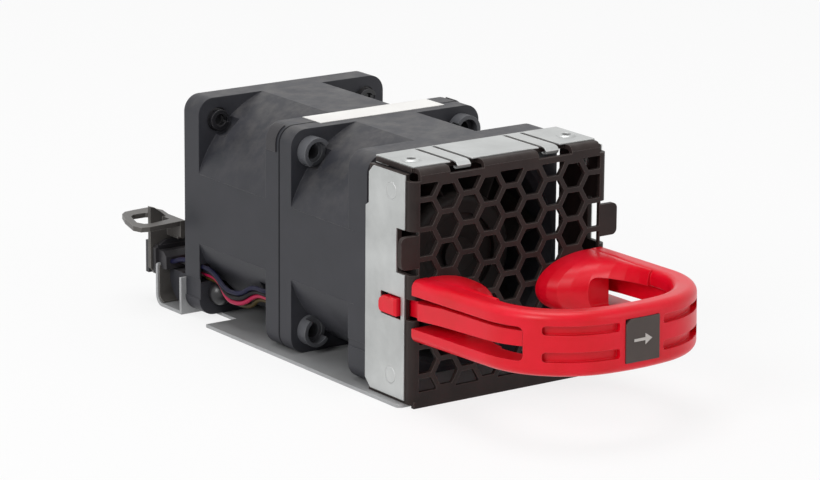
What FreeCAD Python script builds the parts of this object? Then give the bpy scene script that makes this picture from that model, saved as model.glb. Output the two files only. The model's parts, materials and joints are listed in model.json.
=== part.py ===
import FreeCAD, Part
import math
import os

# Hot-swap module with two counter-rotating 40 mm fans, all sizes in millimetres.
# Frame of the part: +X to the right, +Y away from the front face, +Z up. The fan axis is
# the line x = 0, z = 0 and the outside of the perforated front face is the plane y = 0.
V = FreeCAD.Vector

# driving dimensions: fans
FAN = 40.0              # side of the square fan flanges
HOLE_EDGE = 4.0         # distance of the flange holes from the flange's sides
HOLE_PITCH = FAN - 2 * HOLE_EDGE  # 32 mm, the usual pitch for a 40 mm fan
FLANGE_R = 3.0          # corner radius of the flanges
BORE_R = FAN / 2 - 1.4  # radius of the air channel
BARREL_R = BORE_R + 2.4  # outside radius of the barrel, which the square cuts flat
FAN_FRONT = 13.7        # y of the front face of the fan pair
MID_Y = 40.4            # y of the plane where the two fans meet
FAN_REAR = 71.2         # y of the rear face of the fan pair
FLANGE_FRONT = 5.5      # thickness of the foremost flange
FLANGE_MID_F = 3.7      # thickness of the front fan's flange at the joint
FLANGE_MID_R = 4.3      # thickness of the rear fan's flange at the joint
FLANGE_REAR = 4.8       # thickness of the rearmost flange
HOLE_R = 2.15           # flange hole radius
# driving dimensions: motor
HUB_R = 11.0            # outside radius of the impeller hub
BLADE_R = BORE_R - 0.4  # radius of the blade tips
MAGNET_R = 9.8          # outside radius of the ring magnet
AIR_GAP = 0.4           # between magnet and stator
SHAFT_R = 1.0
TUBE_R = 3.4            # outside radius of the bearing tube
BEARING_R = 2.5         # outside radius of the ball bearings
BEARING_L = 2.3         # length of one ball bearing
BORE_STEP = 2.9         # distance of the first bearing's seat from the joint plane
BOARD_S = 2.4           # distance of the circuit board from the joint plane
BOARD_T = 0.8           # thickness of the circuit board
BOARD_R = 9.4           # radius of the circuit board
SKIRT_S = 4.8           # distance of the hub's skirt from the joint plane
HUB_FACE = 0.9          # distance of the hub's face inside the frame's end
HUB_TOP = 2.1           # thickness of the hub's face
YOKE_T = 0.6            # thickness of the steel cup
POLE_S = 6.2            # distance of the stator core from the joint plane
# driving dimensions: front cage
SHEET = 0.8             # sheet thickness of the cage
CAGE_W = FAN + 0.7      # outside width of the cage
CAGE_TOP = FAN / 2 + 0.25  # z of the outside of the cage's top flange
CAGE_DEPTH = 12.4       # depth of the cage's flanges
BEND_R = 1.2            # outside bend radius
CELL = 5.05             # distance between neighbouring hexagons
CELL_AF = 4.2           # hexagon across flats
GRID_X = CAGE_W / 2 - 1.55  # half width of the perforated area
GRID_Z = FAN / 2 - 2.1  # half height of the perforated area
EAR_X = CAGE_W / 2 + 2.25  # reach of the two side ears
FINGER_X = 9.2          # distance of the spring fingers from the middle
# driving dimensions: tray
TRAY_T = 0.6            # sheet thickness of the tray
TRAY_W = CAGE_W + 2.7   # width of the tray floor
TRAY_TOP = -FAN / 2 - 0.05  # z of the tray's upper side, on which the fans stand
TRAY_END = 61.6         # y where the wide part of the tray ends
TAIL_Y1 = 79.9          # y of the outside of the tail's rear wall
TAIL_TOP = -12.8        # z of the top of the tail's walls
# driving dimensions: handle
GRIP_TOP = 1.8          # z of the handle's upper side at the face
GRIP_BOTTOM = -9.0      # z of the handle's lower side at the face
GRIP_Y = -35.8          # y of the foremost point of the handle
GRIP_T = 4.2            # thickness of the handle's bar
GRIP_RISE = 1.2         # degrees by which the handle rises towards its front
BOW_R = 42.0            # radius of the bowed front of the bar
CORNER_R = 16.0         # outside radius of the bar's corners
ARM_X = CAGE_W / 2 + 0.05  # reach of the handle's arms to either side at the face
STRIP_Z0 = -4.95        # z of the underside of a latch strip at its hook
STRIP_Z1 = -2.05        # z of the upper side of a latch strip at its hook
STRIP_UP = 0.5          # by how much the strip lies higher along the arm
SLOT_LOW = 1.6          # gap under a latch strip
SLOT_HIGH = 1.2         # gap over a latch strip
STRIP_ROOT = -27.3      # y where the gaps beside a latch strip end
# driving dimensions: leads
LEAD_R = 0.42           # radius of one fan lead
LEAD_PITCH = 0.92       # distance between neighbouring leads
LEAD_OUT = BARREL_R + 1.0  # distance of the row of leads from the fan axis
LEAD_ANGLE = 213.2      # degrees from +X to the row of leads, over the top

RACE_R = 1.55           # outside radius of the bearings' inner rings
COLLAR_R = 1.6          # radius of the shaft's collar
CUP_R = 2.7             # radius of the joint rivets' cups
CUP_L = 2.4             # length of the joint rivets' cups
ROOM_R = 2.75           # radius of the room for a rivet's head beside the barrel
PIN_R = 0.32            # radius of the pins between the two circuit boards
PIN_Z = -7.0            # z of the row of these pins

HALF = FAN / 2
HP = HOLE_PITCH / 2
CW = CAGE_W / 2
TRAY_BOT = TRAY_TOP - TRAY_T
PIN_ROW = [-1.9 + 1.27 * k for k in range(4)]
MAG_IN = MAGNET_R - 1.1
STATOR_R = MAG_IN - AIR_GAP
L_F = MID_Y - FAN_FRONT
L_R = FAN_REAR - MID_Y
NODES = {}


def box(x0, x1, y0, y1, z0, z1):
    return Part.makeBox(x1 - x0, y1 - y0, z1 - z0, V(x0, y0, z0))


def rod_x(y, z, r, x0, x1):
    return Part.makeCylinder(r, x1 - x0, V(x0, y, z), V(1, 0, 0))


def rod_y(x, z, r, y0, y1):
    return Part.makeCylinder(r, y1 - y0, V(x, y0, z), V(0, 1, 0))


def rod_z(x, y, r, z0, z1):
    return Part.makeCylinder(r, z1 - z0, V(x, y, z0), V(0, 0, 1))


def tube_y(x, z, ro, ri, y0, y1):
    return rod_y(x, z, ro, y0, y1).cut(rod_y(x, z, ri, y0 - 1, y1 + 1))


def face_of(pts):
    return Part.Face(Part.makePolygon([V(*p) for p in pts] + [V(*pts[0])]))


def plate_y(pts, y0, y1):
    """outline given as (x, z), thickness along y"""
    return face_of([(x, y0, z) for x, z in pts]).extrude(V(0, y1 - y0, 0))


def plate_z(pts, z0, z1):
    """outline given as (x, y), thickness along z"""
    return face_of([(x, y, z0) for x, y in pts]).extrude(V(0, 0, z1 - z0))


def plate_x(pts, x0, x1):
    """outline given as (y, z), thickness along x"""
    return face_of([(x0, y, z) for y, z in pts]).extrude(V(x1 - x0, 0, 0))


def join(parts):
    out = parts[0]
    if len(parts) > 1:
        out = out.multiFuse(parts[1:])
    return out.removeSplitter()


def edges_along(shape, axis, test, tol=1e-3):
    """straight edges parallel to one axis whose middle passes the test"""
    out = []
    for e in shape.Edges:
        if e.Curve.TypeId != "Part::GeomLine":
            continue
        d = e.Vertexes[-1].Point - e.Vertexes[0].Point
        if d.Length < 1e-6:
            continue
        d.normalize()
        if abs(abs(getattr(d, axis)) - 1) < tol and test(e.CenterOfMass):
            out.append(e)
    return out


def flip(shape):
    """the same shape on the other side of the plane x = 0"""
    return shape.mirror(V(0, 0, 0), V(1, 0, 0))


def square(y0, y1, side=FAN, r=FLANGE_R):
    s = box(-side / 2, side / 2, y0, y1, -side / 2, side / 2)
    return s.makeFillet(r, edges_along(s, "y", lambda p: True))


def hexagon(x, z, af, y0, y1):
    r = af / math.sqrt(3)
    return plate_y([(x + r * math.cos(math.radians(60 * k)), z + r * math.sin(math.radians(60 * k)))
                    for k in range(6)], y0, y1)


# the fans: every fan is drawn along s, the distance from the joint plane outwards
def span(side, s0, s1):
    """y from the lower to the upper end of a stretch of s"""
    return tuple(sorted((MID_Y + side * s0, MID_Y + side * s1)))


LEAD_DIR = V(math.cos(math.radians(LEAD_ANGLE)), 0, math.sin(math.radians(LEAD_ANGLE)))
LEAD_SIDE = V(-LEAD_DIR.z, 0, LEAD_DIR.x)


def lead_spot(k, out=LEAD_OUT):
    """x and z of one lead of the row, at a distance from the fan axis"""
    p = LEAD_DIR * out + LEAD_SIDE * ((1.5 - k) * LEAD_PITCH)
    return p.x, p.z


def fan_frame(side, length, flange_mid, flange_out, struts, cup_room, head_room):
    def ys(s0, s1):
        return span(side, s0, s1)
    body = rod_y(0, 0, BARREL_R, *ys(0, length)).common(box(-HALF, HALF, *ys(0, length), -HALF, HALF))
    body = join([body, square(*ys(0, flange_mid)), square(*ys(length - flange_out, length))])
    cuts = [rod_y(0, 0, BORE_R, *ys(-1, length + 1))]
    for sx in (-1, 1):
        for sz in (-1, 1):
            cuts.append(rod_y(sx * HP, sz * HP, HOLE_R, *ys(-1, flange_mid + 0.5)))
            cuts.append(rod_y(sx * HP, sz * HP, HOLE_R, *ys(length - flange_out - 0.5, length + 1)))
            # room for the rivets beside the barrel
            cuts.append(rod_y(sx * HP, sz * HP, ROOM_R, *ys(flange_mid, flange_mid + cup_room)))
            end = length - flange_out
            cuts.append(rod_y(sx * HP, sz * HP, ROOM_R, *ys(end - head_room, end)))
    body = body.cut(Part.makeCompound(cuts))
    # wider mouth of the air channel
    a, b = ys(length - 1.6, length)
    if side > 0:
        mouth = Part.makeCone(BORE_R, BORE_R + 0.7, b - a, V(0, a, 0), V(0, 1, 0))
    else:
        mouth = Part.makeCone(BORE_R + 0.7, BORE_R, b - a, V(0, a, 0), V(0, 1, 0))
    body = body.cut(mouth)
    tube_end = length - HUB_FACE - HUB_TOP - 1.6
    extra = [rod_y(0, 0, BOARD_R + 0.8, *ys(0.2, BOARD_S)), rod_y(0, 0, TUBE_R, *ys(2.0, tube_end))]
    for k in range(struts):
        arm = box(BOARD_R + 0.3, BORE_R + 0.6, *ys(0.2, 2.8), -0.55, 0.55)
        arm.rotate(V(0, 0, 0), V(0, 1, 0), 360.0 * k / struts + 22.0)
        extra.append(arm)
    body = join([body] + extra)
    bore = rod_y(0, 0, BEARING_R, *ys(BORE_STEP, tube_end + 1))
    inner = rod_y(0, 0, 2.0, *ys(0.9, BORE_STEP + 0.1))
    pins = [rod_y(x, PIN_Z, PIN_R + 0.1, *ys(-1, 4)) for x in PIN_ROW]
    return body.cut(Part.makeCompound([bore, inner] + pins))


front_frame = fan_frame(-1, L_F, FLANGE_MID_F, FLANGE_FRONT, 8, CUP_L + 0.2, 2.4)
rear_frame = fan_frame(1, L_R, FLANGE_MID_R, FLANGE_REAR, 7, 2.1, 3.1)
# way out for the leads beside the joint and their slot in the rearmost flange
ROW = 2 * LEAD_PITCH + 0.2
exit_y = MID_Y + BOARD_S + BOARD_T - 0.1
way_out = box(BOARD_R + 1.0, LEAD_OUT - 0.4, exit_y, exit_y + 5.2, -ROW, ROW)
way_out.rotate(V(0, 0, 0), V(0, 1, 0), -LEAD_ANGLE)
SLOT_X0, SLOT_Z1 = lead_spot(3)[0] - 0.55, lead_spot(3)[1] + 0.55
SLOT_X1, SLOT_Z0 = lead_spot(0)[0] + 0.55, lead_spot(0)[1] - 0.55
lead_slot = box(SLOT_X0, SLOT_X1, FAN_REAR - FLANGE_REAR - 0.5, FAN_REAR + 0.5, SLOT_Z0, SLOT_Z1)
rear_frame = rear_frame.cut(way_out).cut(lead_slot)
# moulded steps on the left sides of the flanges
front_frame = front_frame.cut(box(-HALF - 1, -HALF + 0.15, FAN_FRONT - 1, FAN_FRONT + FLANGE_FRONT + 1, -14.0, -12.7))
rear_frame = rear_frame.cut(box(-HALF - 1, -HALF + 0.2, FAN_REAR - FLANGE_REAR - 0.1, FAN_REAR + 1, -16.9, -13.2))
NODES["front_fan_frame"] = front_frame
NODES["rear_fan_frame"] = rear_frame


def impeller(side, length, blades, hand, turn0):
    def ys(s0, s1):
        return span(side, s0, s1)
    top = length - HUB_FACE
    cavity = rod_y(0, 0, MAGNET_R + YOKE_T, *ys(0, top - HUB_TOP))
    hub = rod_y(0, 0, HUB_R, *ys(SKIRT_S, top))
    rim = [e for e in hub.Edges if e.Curve.TypeId == "Part::GeomCircle"
           and abs(e.CenterOfMass.y - (MID_Y + side * top)) < 0.01]
    hub = hub.makeFillet(1.6, rim)
    hub = hub.cut(cavity).cut(rod_y(0, 0, SHAFT_R, *ys(top - HUB_TOP - 1, top - 0.6)))
    # dish in the face of the hub and the core that holds the shaft
    hub = hub.cut(tube_y(0, 0, 7.4, 3.0, *ys(top - 1.1, top + 1)))
    s0, s1 = 6.0, length - 1.8
    mid, rise = (s0 + s1) / 2, (s1 - s0)
    made = []
    for k in range(blades):
        wires = []
        for r, ang, chord in ((7.6, 40.0, rise * 0.92), (19.4, 58.0, rise * 1.02)):
            a = math.radians(ang)
            half = chord / 2 * math.tan(a) * (0.62 if r < 10 else 0.50)
            pts = []
            for t, w in ((-1.0, 0.16), (-0.5, 0.62), (0.0, 0.72), (0.5, 0.56), (1.0, 0.14)):
                bow = 0.16 * half * (1 - t * t)
                pts.append((t, half * t + bow, w / 2))
            low = [V(hand * (p - w), MID_Y + side * (mid + t * rise / 2), r) for t, p, w in pts]
            high = [V(hand * (p + w), MID_Y + side * (mid + t * rise / 2), r) for t, p, w in pts]
            ca, cb = Part.BSplineCurve(), Part.BSplineCurve()
            ca.interpolate(low)
            cb.interpolate(high)
            wires.append(Part.Wire([ca.toShape(), Part.makeLine(low[-1], high[-1]),
                                    cb.toShape(), Part.makeLine(high[0], low[0])]))
        b = Part.makeLoft(wires, True, True)
        b = b.common(rod_y(0, 0, BLADE_R, *ys(s0 - 1, s1 + 1))).cut(cavity)
        b = b.cut(rod_y(0, 0, MAGNET_R, *ys(0, length)))
        b.rotate(V(0, 0, 0), V(0, 1, 0), turn0 + 360.0 * k / blades)
        made.append(b)
    return join([hub] + made)


NODES["front_impeller"] = impeller(-1, L_F, 7, 1, 8.0)
NODES["rear_impeller"] = impeller(1, L_R, 5, -1, 30.0)


def motor(name, side, length):
    def ys(s0, s1):
        return span(side, s0, s1)
    end = length - HUB_FACE - HUB_TOP
    # steel cup in the hub, open towards the joint, with the ring magnet in it
    cup = rod_y(0, 0, MAGNET_R + YOKE_T, *ys(SKIRT_S + 0.2, end))
    cup = cup.cut(rod_y(0, 0, MAGNET_R, *ys(0, end - YOKE_T)))
    NODES[name + "_yoke"] = cup.cut(rod_y(0, 0, COLLAR_R, *ys(0, length)))
    NODES[name + "_magnet"] = tube_y(0, 0, MAGNET_R, MAG_IN, *ys(SKIRT_S + 0.6, end - 3.0))
    # shaft with the groove for its clip and the collar that carries the cup
    shaft = rod_y(0, 0, SHAFT_R, *ys(1.3, end + HUB_TOP - 0.6))
    shaft = shaft.cut(tube_y(0, 0, 1.3, SHAFT_R - 0.25, *ys(1.9, 2.3)))
    NODES[name + "_shaft"] = join([shaft, rod_y(0, 0, COLLAR_R, *ys(end - 1.4, end))])
    clip = tube_y(0, 0, 1.7, SHAFT_R - 0.25, *ys(1.9, 2.3))
    NODES[name + "_shaft_clip"] = clip.cut(box(-0.5, 0.5, *ys(1.5, 2.7), -2, 0))
    far = end - 1.9 - BEARING_L
    inner, outer = [], []
    for at in (BORE_STEP, far):
        inner.append(tube_y(0, 0, RACE_R, SHAFT_R, *ys(at, at + BEARING_L)))
        outer.append(tube_y(0, 0, BEARING_R, RACE_R + 0.07, *ys(at, at + BEARING_L)))
    NODES[name + "_bearing_inners"] = Part.makeCompound(inner)
    NODES[name + "_bearing_outers"] = Part.makeCompound(outer)
    NODES[name + "_bearing_spacer"] = tube_y(0, 0, BEARING_R, BEARING_R - 0.4, *ys(BORE_STEP + BEARING_L, far))
    # dished washer that presses the inner ring away from the collar
    dish = Part.makeCone(RACE_R - 0.05, RACE_R - 0.3, 0.5, V(0, MID_Y + side * (end - 1.9), 0), V(0, side, 0))
    NODES[name + "_preload_washer"] = dish.cut(rod_y(0, 0, SHAFT_R, *ys(0, length)))
    # stator with four poles on the bearing tube
    core_end = end - 4.6
    bits = [tube_y(0, 0, 4.6, TUBE_R, *ys(POLE_S, core_end))]
    for k in range(4):
        pole = box(4.2, STATOR_R - 1.0, *ys(POLE_S, core_end), -1.1, 1.1)
        shoe = tube_y(0, 0, STATOR_R, STATOR_R - 1.4, *ys(POLE_S, core_end))
        shoe = shoe.common(plate_y([(0, 0), (12, -7.6), (12, 7.6)], *ys(POLE_S, core_end)))
        pole = join([pole, shoe])
        pole.rotate(V(0, 0, 0), V(0, 1, 0), 90 * k + 45)
        bits.append(pole)
    NODES[name + "_stator_core"] = join(bits)
    coils = []
    for k in range(4):
        c = box(4.9, STATOR_R - 1.9, *ys(POLE_S - 1.0, core_end + 1.0), -2.3, 2.3)
        c = c.makeFillet(0.5, edges_along(c, "x", lambda p: True))
        c = c.cut(box(4.0, STATOR_R, *ys(POLE_S, core_end), -1.1, 1.1))
        c.rotate(V(0, 0, 0), V(0, 1, 0), 90 * k + 45)
        coils.append(c)
    NODES[name + "_coils"] = Part.makeCompound(coils)
    face = BOARD_S + BOARD_T
    board = tube_y(0, 0, BOARD_R, TUBE_R, *ys(BOARD_S, face))
    NODES[name + "_board"] = board.cut(
        Part.makeCompound([rod_y(x, PIN_Z, PIN_R, *ys(0, 6)) for x in PIN_ROW]))
    chips = [box(4.4, 7.4, *ys(face, face + 1.1), -1.5, 1.5), box(-7.6, -5.8, *ys(face, face + 0.9), 2.2, 4.2),
             box(-2.0, 0.4, *ys(face, face + 1.0), 5.6, 7.2), rod_y(4.6, -5.4, 1.2, *ys(face, face + 1.2))]
    NODES[name + "_board_parts"] = Part.makeCompound(chips)


motor("front", -1, L_F)
motor("rear", 1, L_R)
NODES["board_link_pins"] = Part.makeCompound(
    [rod_y(x, PIN_Z, PIN_R, MID_Y - BOARD_S - BOARD_T - 0.6, MID_Y + BOARD_S + BOARD_T + 0.6) for x in PIN_ROW])

# push rivets through the two flanges at the joint, with a split cup on the front side
rivets = []
Y0, Y1 = MID_Y - FLANGE_MID_F, MID_Y + FLANGE_MID_R
for sx in (-1, 1):
    for sz in (-1, 1):
        x, z = sx * HP, sz * HP
        # the cup is a half shell, open towards the fan axis
        cup = tube_y(x, z, CUP_R, CUP_R - 0.7, Y0 - CUP_L, Y0)
        mouth = box(0.5, CUP_R + 1, Y0 - CUP_L - 0.1, Y0 - 0.7, -CUP_R - 1, CUP_R + 1)
        mouth.rotate(V(0, 0, 0), V(0, 1, 0), math.degrees(math.atan2(sz, -sx)))
        mouth.translate(V(x, 0, z))
        cup = cup.cut(mouth)
        stem = tube_y(x, z, HOLE_R - 0.05, 1.35, Y0 - 0.6, Y1)
        toe = Part.makeCone(HOLE_R - 0.05, CUP_R, 0.7, V(x, Y1, z), V(0, 1, 0))
        toe = toe.fuse(Part.makeCone(CUP_R, 1.7, 1.2, V(x, Y1 + 0.7, z), V(0, 1, 0)))
        rivets.append(join([cup, stem, toe.cut(rod_y(x, z, 1.2, Y1 - 1, Y1 + 1.2))]))
NODES["joint_rivets"] = Part.makeCompound(rivets)

# black push rivets that hold the lower corners of the fans to the tray's tabs
TAB_T = TRAY_T
TAB_F = FAN_FRONT - TAB_T - 0.02
TAB_B = FAN_REAR + 0.02
holders = []
for sx in (-1, 1):
    y0, y1 = TAB_F, FAN_FRONT + FLANGE_FRONT
    h = join([rod_y(sx * HP, -HP, 2.1, y0, y1), rod_y(sx * HP, -HP, 2.6, y0 - 0.9, y0),
              Part.makeCone(2.1, 2.4, 0.6, V(sx * HP, y1, -HP), V(0, 1, 0)),
              Part.makeCone(2.4, 1.2, 1.6, V(sx * HP, y1 + 0.6, -HP), V(0, 1, 0))])
    holders.append(h)
    y0, y1 = FAN_REAR - FLANGE_REAR, TAB_B + TAB_T
    ball = Part.makeSphere(2.3, V(sx * HP, y0 - 0.6, -HP)).common(box(-FAN, FAN, y0 - 4, y0, -FAN, 0))
    h = join([rod_y(sx * HP, -HP, 2.1, y0 - 0.5, y1), ball,
              Part.makeCone(2.1, 2.5, 0.5, V(sx * HP, y1, -HP), V(0, 1, 0)),
              Part.makeCone(2.5, 1.4, 0.9, V(sx * HP, y1 + 0.5, -HP), V(0, 1, 0))])
    holders.append(h)
# split pins in the upper holes of the rearmost flange, their tips stand out to the front
for sx in (-1, 1):
    y0 = FAN_REAR - FLANGE_REAR
    tip = tube_y(sx * HP, HP, 1.85, 1.1, y0 - 1.0, y0 + 0.6)
    tip = tip.cut(box(sx * HP - 0.3, sx * HP + 3, y0 - 1.1, y0 - 0.1, HP - 0.5, HP + 0.5))
    holders.append(join([tip, rod_y(sx * HP, HP, HOLE_R - 0.05, y0 + 0.2, FAN_REAR),
                         rod_y(sx * HP, HP, 2.9, FAN_REAR, FAN_REAR + 0.8)]))
NODES["holding_rivets"] = Part.makeCompound(holders)
NODES["top_label"] = box(-HALF + 7.6, HALF - 6.0, MID_Y - 1.6, MID_Y + 4.1, HALF, HALF + 0.1)

LID_X = CW - 1.25       # half width of the cage's top flange
TOP_X = CW - 1.45       # half width of the top spring plate
SIDE_TOP = CAGE_TOP - 0.95  # z of the upper ends of the cage's side flanges
ABOVE = CAGE_TOP + 2    # clear of the cage's top
# front cage: one sheet, face with honeycomb, top flange and two side flanges
sides = box(-CW, CW, 0, CAGE_DEPTH, TRAY_TOP, SIDE_TOP)
sides = sides.makeFillet(BEND_R, edges_along(sides, "z", lambda p: p.y < 0.1))
hollow = box(-CW + SHEET, CW - SHEET, SHEET, CAGE_DEPTH + 1, TRAY_TOP - 1, ABOVE)
hollow = hollow.makeFillet(BEND_R - SHEET, edges_along(hollow, "z", lambda p: p.y < SHEET + 0.1))
sides = sides.cut(hollow)
lid = box(-LID_X, LID_X, 0, CAGE_DEPTH, CAGE_TOP - 10, CAGE_TOP)
lid = lid.makeFillet(BEND_R, edges_along(lid, "x", lambda p: p.y < 0.1 and p.z > CAGE_TOP - 5))
under = box(-CW, CW, SHEET, CAGE_DEPTH + 1, CAGE_TOP - 15, CAGE_TOP - SHEET)
under = under.makeFillet(BEND_R - SHEET, edges_along(under, "x", lambda p: p.y < SHEET + 0.1 and p.z > CAGE_TOP - 5))
lid = lid.cut(under)
foot_strip = box(-CW + 0.6, CW - 0.6, 0, SHEET, TRAY_BOT, TRAY_TOP + 0.5)
cage = join([sides, lid, foot_strip])
cuts = []
for sx in (-1, 1):
    # open corners where the bends of the face meet
    cuts.append(box(*sorted((sx * (CW + 1), sx * (CW - 1.65))), -1, 2.1, SIDE_TOP - 1, ABOVE))
    # gap between side flange and top flange
    cuts.append(box(*sorted((sx * (CW + 1), sx * LID_X)), 2.0, CAGE_DEPTH + 1, SIDE_TOP, ABOVE))
    # metal of the ear, cut from the side flange
    cuts.append(box(*sorted((sx * (CW + 1), sx * (CW - 1.35))), -1, 4.2, 2.3, 9.85))
    # way of the latch strip through the corner, and the window for its hook
    cuts.append(box(*sorted((sx * (CW + 1), sx * 14.9)), -1, 1.75, -5.5, -1.8))
    cuts.append(box(*sorted((sx * (CW + 1), sx * (CW - 1.35))), 2.85, 8.7, -5.7, -1.8))
    # notch in the top bend under a spring finger
    cuts.append(box(sx * FINGER_X - 3.5, sx * FINGER_X + 3.5, -1, 2.5, SIDE_TOP - 0.4, ABOVE))
SCREWS = [(sx * 12.8, z) for sx in (-1, 1) for z in (-0.5, -6.1)]
cuts += [rod_y(x, z, 1.35, -1, 2) for x, z in SCREWS]
window = box(-GRID_X, GRID_X, -1, 2, -GRID_Z, GRID_Z)
cells = []
for i in range(-4, 5):
    x = i * CELL * math.sqrt(3) / 2
    zs = [k * CELL for k in range(-3, 4)] if i % 2 else [(k + 0.5) * CELL for k in range(-4, 4)]
    for z in zs:
        # closed behind the feet of the handle
        if 12.0 < abs(x) < 14.0 and -6.0 < z < 1.0:
            continue
        if abs(x) > 16.0 and -3.0 < z < -2.0:
            continue
        c = hexagon(x, z, CELL_AF, -1, 2)
        if abs(x) > 16 or abs(z) > 15.5:
            c = c.common(window)
        cells.append(c)
cage = cage.cut(Part.makeCompound(cuts)).cut(Part.makeCompound(cells))
ears = []
for sx in (-1, 1):
    e = box(*sorted((sx * (CW - 1.45), sx * EAR_X)), 0, SHEET, 3.6, 9.2)
    e = e.makeFillet(1.0, edges_along(e, "y", lambda p: abs(p.x) > EAR_X - 0.1))
    ears.append(e)
rivet_at_top = [(sx * (CW - 4.15), 6.3) for sx in (-1, 1)]
rivet_at_side = [(5.8, z) for z in (-HALF + 4.1, HALF - 4.1)]
RIV_R = 0.8
EYE_R = 1.1             # outside radius of the eyelets in the top flange
cage = join([cage] + ears)
cage = cage.cut(Part.makeCompound([rod_z(x, y, EYE_R, CAGE_TOP - 2, ABOVE) for x, y in rivet_at_top]
                                  + [rod_x(y, z, RIV_R, -CW - 2, CW + 2) for y, z in rivet_at_side]))
NODES["front_cage"] = cage

# spring plates of bright steel on the cage
LEAF = 0.25
top = [box(-TOP_X, -FINGER_X - 2.2, 1.9, CAGE_DEPTH, CAGE_TOP, CAGE_TOP + LEAF),
       box(-FINGER_X + 2.2, FINGER_X - 2.2, 1.9, CAGE_DEPTH, CAGE_TOP, CAGE_TOP + LEAF),
       box(FINGER_X + 2.2, TOP_X, 1.9, CAGE_DEPTH, CAGE_TOP, CAGE_TOP + LEAF),
       box(-TOP_X, TOP_X, CAGE_DEPTH, CAGE_DEPTH + LEAF, CAGE_TOP - SHEET - LEAF, CAGE_TOP + LEAF),
       box(-TOP_X, TOP_X, 9.4, CAGE_DEPTH + LEAF, CAGE_TOP - SHEET - LEAF, CAGE_TOP - SHEET)]
zt = CAGE_TOP + LEAF
# side view of a finger: flat along the flange, its end rolled down into the notch
finger = [(CAGE_DEPTH, zt), (2.3, zt), (1.4, zt - 0.15), (0.9, zt - 0.7), (1.1, zt - 1.25), (1.7, zt - 1.45),
          (2.3, zt - 1.15), (2.1, zt - 0.97), (1.7, zt - 1.18), (1.3, zt - 1.05), (1.17, zt - 0.72),
          (1.55, zt - 0.37), (2.35, zt - LEAF), (CAGE_DEPTH, zt - LEAF)]
for sx in (-1, 1):
    top.append(plate_x(finger, sx * FINGER_X - 1.35, sx * FINGER_X + 1.35))
NODES["top_spring_plate"] = join(top).cut(
    Part.makeCompound([rod_z(x, y, EYE_R, CAGE_TOP - 2, ABOVE) for x, y in rivet_at_top]))


def sunk(sx, y, z):
    """countersink of a rivet in a side spring plate"""
    return Part.makeCone(RIV_R, 1.5, LEAF, V(sx * CW, y, z), V(sx, 0, 0))


def side_plate(sx):
    low, high = TRAY_TOP + 0.55, SIDE_TOP - 0.1
    pts = [(1.9, low), (11.7, low), (13.2, low + 1.5), (13.2, 12.0), (12.3, 12.6), (12.3, high - 1.3),
           (11.0, high), (1.9, high)]
    p = plate_x(pts, CW, CW + LEAF)
    p = p.cut(box(CW - 1, CW + 1, 2.85, 8.7, -5.7, -1.8)).cut(box(CW - 1, CW + 1, 0, 4.3, 2.2, 9.9))
    p = p.cut(Part.makeCompound([sunk(1, y, z) for y, z in rivet_at_side]))
    return p if sx > 0 else flip(p)


NODES["left_spring_plate"] = side_plate(-1)
NODES["right_spring_plate"] = side_plate(1)

# tray: floor, upturned tail, tabs for the fans and ears inside the cage
FOOT_X = (-3.0, 8.0)
FOOT_Y = 84.5
FOOT_R = 1.3


def countersunk(x):
    """flush head of a foot rivet, and the hole for it in the tray"""
    return Part.makeCone(FOOT_R + 0.7, FOOT_R, TRAY_T, V(x, FOOT_Y, TRAY_BOT), V(0, 0, 1))


TW = TRAY_W / 2
TAIL_X = TW - 0.8
floor = plate_z([(-TW, 1.8), (TW, 1.8), (TW, TRAY_END), (15.2, TRAY_END), (15.2, TAB_B + 2),
                 (-15.2, TAB_B + 2), (-15.2, TRAY_END), (-TW, TRAY_END)], TRAY_BOT, TRAY_TOP)
floor = floor.makeFillet(1.0, edges_along(floor, "z", lambda p: p.y < 2))
R_OUT = 2.0
tail = box(-TAIL_X, TAIL_X, TAB_B, TAIL_Y1, TRAY_BOT, TAIL_TOP)
tail = tail.makeFillet(R_OUT, edges_along(tail, "x", lambda p: p.z < TRAY_BOT + 0.1 and p.y > TAIL_Y1 - 0.1))
room = box(-TAIL_X - 1, TAIL_X + 1, TAB_B - 1, TAIL_Y1 - TRAY_T, TRAY_TOP, TAIL_TOP + 5)
room = room.makeFillet(R_OUT - TRAY_T, edges_along(room, "x", lambda p: p.z < TRAY_TOP + 0.1 and p.y > TAIL_Y1 - 1))
tail = tail.cut(room)
# of the rear wall only a slender horn stands at either end, with a hollow curve at its foot
HORN_X = TAIL_X - 1.1
HORN_R = 4.3
for sx in (-1, 1):
    cx = HORN_X - HORN_R
    cz = TRAY_TOP + HORN_R + 0.3
    hollow = join([rod_y(sx * cx, cz, HORN_R, TAIL_Y1 - 2.4, TAIL_Y1 + 1),
                   box(*sorted((sx * HORN_X, 0)), TAIL_Y1 - 2.4, TAIL_Y1 + 1, cz, 0),
                   box(*sorted((sx * cx, 0)), TAIL_Y1 - 2.4, TAIL_Y1 + 1, TRAY_TOP + 0.3, 0)])
    tail = tail.cut(hollow)
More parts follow.
